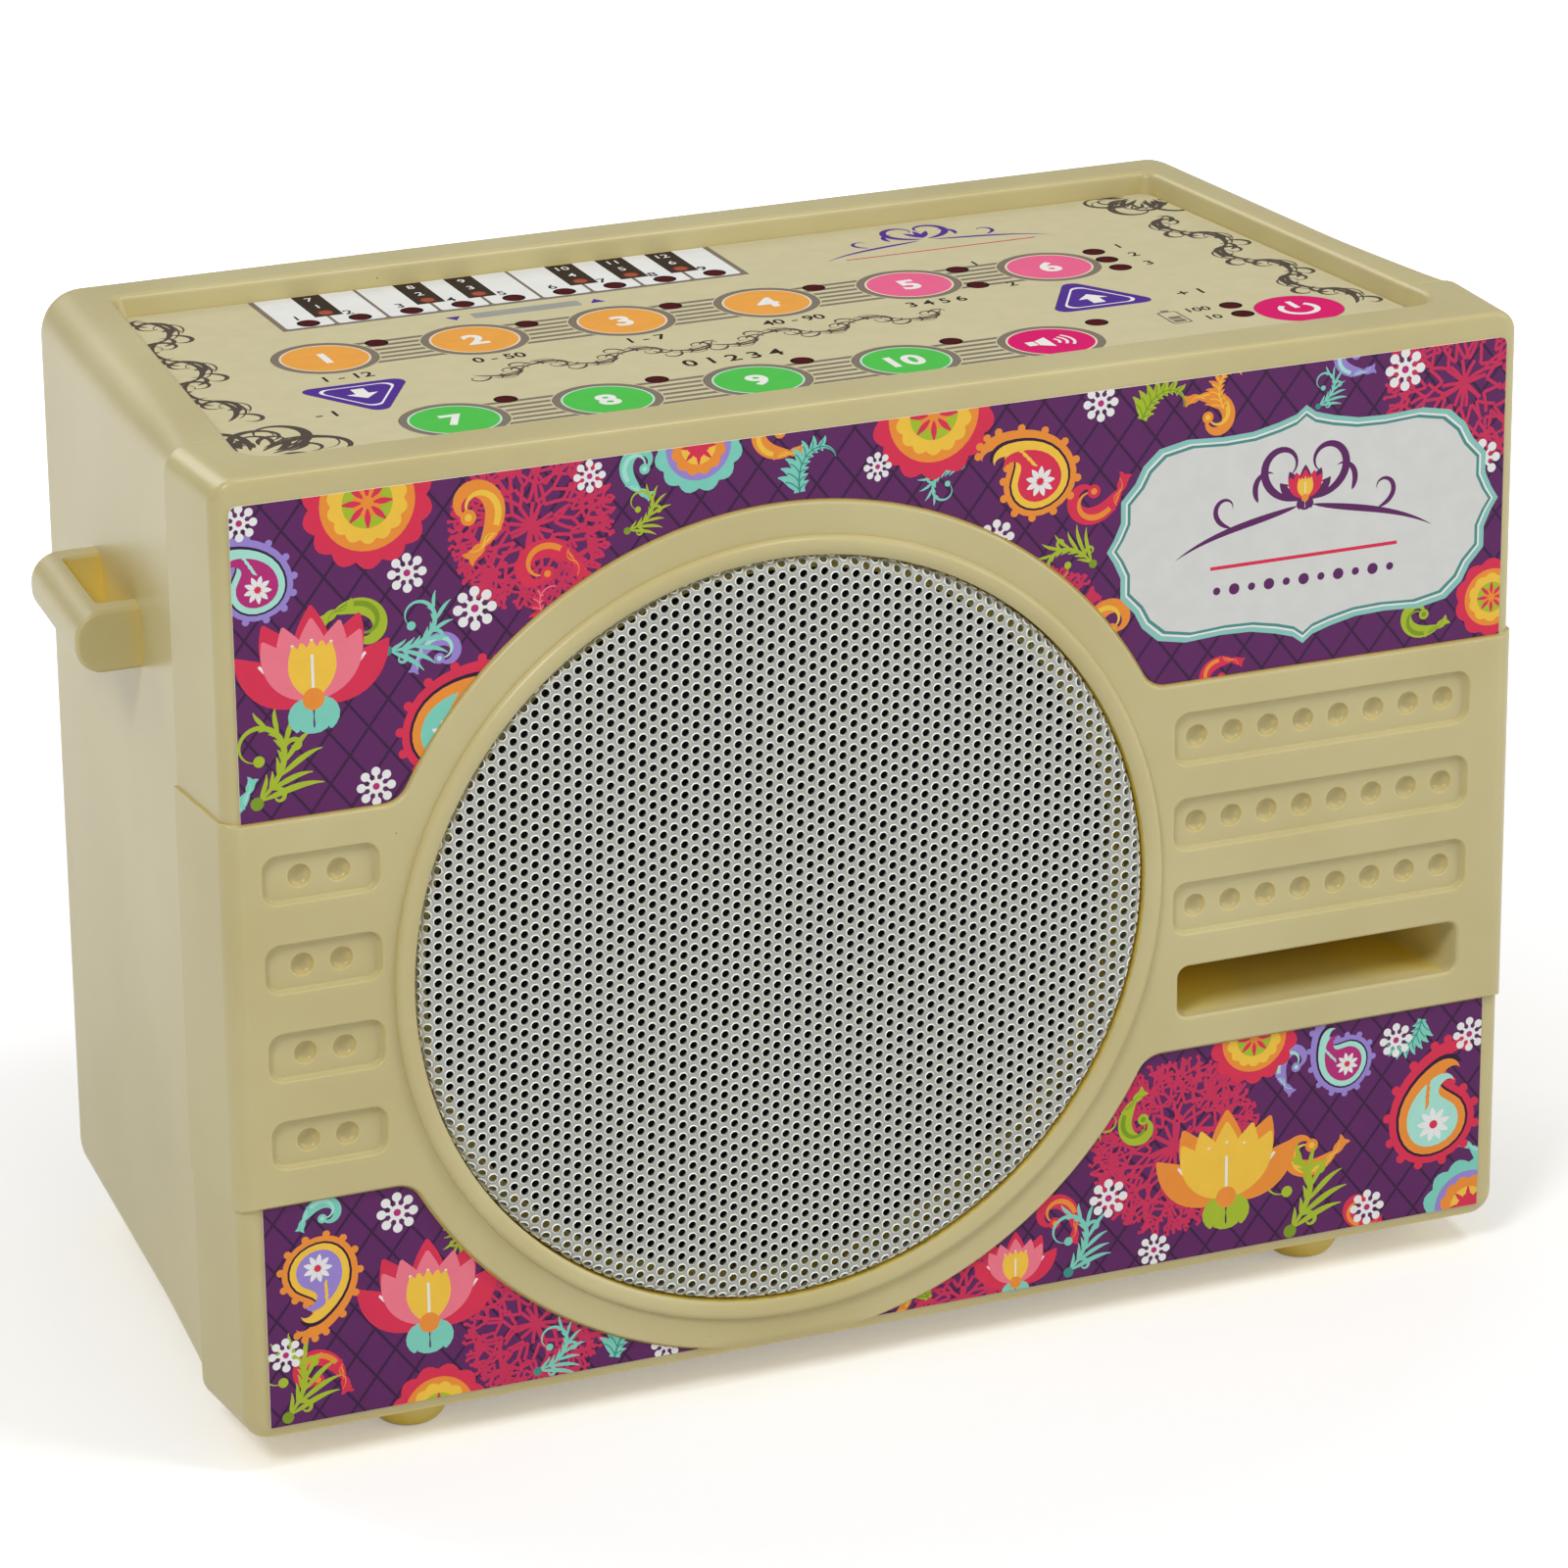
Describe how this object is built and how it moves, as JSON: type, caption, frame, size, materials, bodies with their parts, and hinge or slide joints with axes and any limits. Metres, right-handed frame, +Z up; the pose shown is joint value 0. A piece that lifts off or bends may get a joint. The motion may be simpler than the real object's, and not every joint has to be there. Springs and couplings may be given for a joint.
{
  "type": "electronic tanpura",
  "caption": "Portable electronic drone box with a round speaker and a bass port in front, a printed keypad in a recess on top, strap lugs and feet.",
  "frame": {"origin": "on the table the feet stand on, under the middle of the box's overall width and depth", "axes": "+Z up, -Y out of the speaker side, +X to the right as seen from the speaker side"},
  "size_m": [0.2, 0.0984, 0.1371],
  "materials": {
    "shell": "moulded cream ABS, semi-gloss",
    "grille": "light grey perforated sheet",
    "film": "printed polyester film, fine matt grain",
    "amber": "printed polyester film, amber ink",
    "pink": "printed polyester film, pink ink",
    "crimson": "printed polyester film, crimson ink",
    "green": "printed polyester film, green ink",
    "violet": "printed polyester film, violet ink",
    "label": "printed and laminated label",
    "steel": "zinc-plated steel",
    "ferrite": "ferrite",
    "paper": "black paper",
    "foam": "black foam rubber",
    "board": "green circuit board",
    "wrap": "blue shrink wrap",
    "black": "black plastic",
    "ribbon": "grey ribbon cable"
  },
  "bodies": {
    "case": {"battery_pack": "wrap", "battery_strap": "black", "battery_tray": "black", "case_screw_1": "steel", "case_screw_2": "steel", "case_screw_3": "steel", "case_screw_4": "steel", "dust_cap": "paper", "foot_front_left": "shell", "foot_front_right": "shell", "foot_rear_left": "shell", "foot_rear_right": "shell", "front_bezel": "shell", "keypad_board": "board", "keypad_film": "film", "keypad_screw_1": "steel", "keypad_screw_2": "steel", "keypad_screw_3": "steel", "keypad_screw_4": "steel", "label_lower_left": "label", "label_lower_right": "label", "label_upper": "label", "line_out": "black", "magnet_plate": "steel", "main_board": "board", "main_board_screw_1": "steel", "main_board_screw_2": "steel", "main_board_screw_3": "steel", "main_board_screw_4": "steel", "power_inlet": "black", "rear_case": "shell", "ribbon_cable": "ribbon", "speaker_cone": "paper", "speaker_frame": "steel", "speaker_gasket": "foam", "speaker_grille": "grille", "speaker_magnet": "ferrite", "speaker_screw_1": "steel", "speaker_screw_2": "steel", "speaker_screw_3": "steel", "speaker_screw_4": "steel"},
    "key_beats": {"key_beats": "pink"},
    "key_down": {"key_down": "violet"},
    "key_fine_pitch": {"key_fine_pitch": "amber"},
    "key_fourth_string": {"key_fourth_string": "amber"},
    "key_main_pitch": {"key_main_pitch": "amber"},
    "key_mute": {"key_mute": "crimson"},
    "key_power": {"key_power": "crimson"},
    "key_string_four": {"key_string_four": "green"},
    "key_string_one": {"key_string_one": "green"},
    "key_string_three": {"key_string_three": "green"},
    "key_string_two": {"key_string_two": "green"},
    "key_style": {"key_style": "pink"},
    "key_tempo": {"key_tempo": "amber"},
    "key_up": {"key_up": "violet"}
  },
  "joints": [
    {"name": "beats_press", "type": "slide", "parent": "case", "child": "key_beats", "axis": [0, 0, -1], "range_m": [0, 0.0004], "stiffness_N_per_m": 3000},
    {"name": "down_press", "type": "slide", "parent": "case", "child": "key_down", "axis": [0, 0, -1], "range_m": [0, 0.0004], "stiffness_N_per_m": 3000},
    {"name": "fine_pitch_press", "type": "slide", "parent": "case", "child": "key_fine_pitch", "axis": [0, 0, -1], "range_m": [0, 0.0004], "stiffness_N_per_m": 3000},
    {"name": "fourth_string_press", "type": "slide", "parent": "case", "child": "key_fourth_string", "axis": [0, 0, -1], "range_m": [0, 0.0004], "stiffness_N_per_m": 3000},
    {"name": "main_pitch_press", "type": "slide", "parent": "case", "child": "key_main_pitch", "axis": [0, 0, -1], "range_m": [0, 0.0004], "stiffness_N_per_m": 3000},
    {"name": "mute_press", "type": "slide", "parent": "case", "child": "key_mute", "axis": [0, 0, -1], "range_m": [0, 0.0004], "stiffness_N_per_m": 3000},
    {"name": "power_press", "type": "slide", "parent": "case", "child": "key_power", "axis": [0, 0, -1], "range_m": [0, 0.0004], "stiffness_N_per_m": 3000},
    {"name": "string_four_press", "type": "slide", "parent": "case", "child": "key_string_four", "axis": [0, 0, -1], "range_m": [0, 0.0004], "stiffness_N_per_m": 3000},
    {"name": "string_one_press", "type": "slide", "parent": "case", "child": "key_string_one", "axis": [0, 0, -1], "range_m": [0, 0.0004], "stiffness_N_per_m": 3000},
    {"name": "string_three_press", "type": "slide", "parent": "case", "child": "key_string_three", "axis": [0, 0, -1], "range_m": [0, 0.0004], "stiffness_N_per_m": 3000},
    {"name": "string_two_press", "type": "slide", "parent": "case", "child": "key_string_two", "axis": [0, 0, -1], "range_m": [0, 0.0004], "stiffness_N_per_m": 3000},
    {"name": "style_press", "type": "slide", "parent": "case", "child": "key_style", "axis": [0, 0, -1], "range_m": [0, 0.0004], "stiffness_N_per_m": 3000},
    {"name": "tempo_press", "type": "slide", "parent": "case", "child": "key_tempo", "axis": [0, 0, -1], "range_m": [0, 0.0004], "stiffness_N_per_m": 3000},
    {"name": "up_press", "type": "slide", "parent": "case", "child": "key_up", "axis": [0, 0, -1], "range_m": [0, 0.0004], "stiffness_N_per_m": 3000}
  ]
}
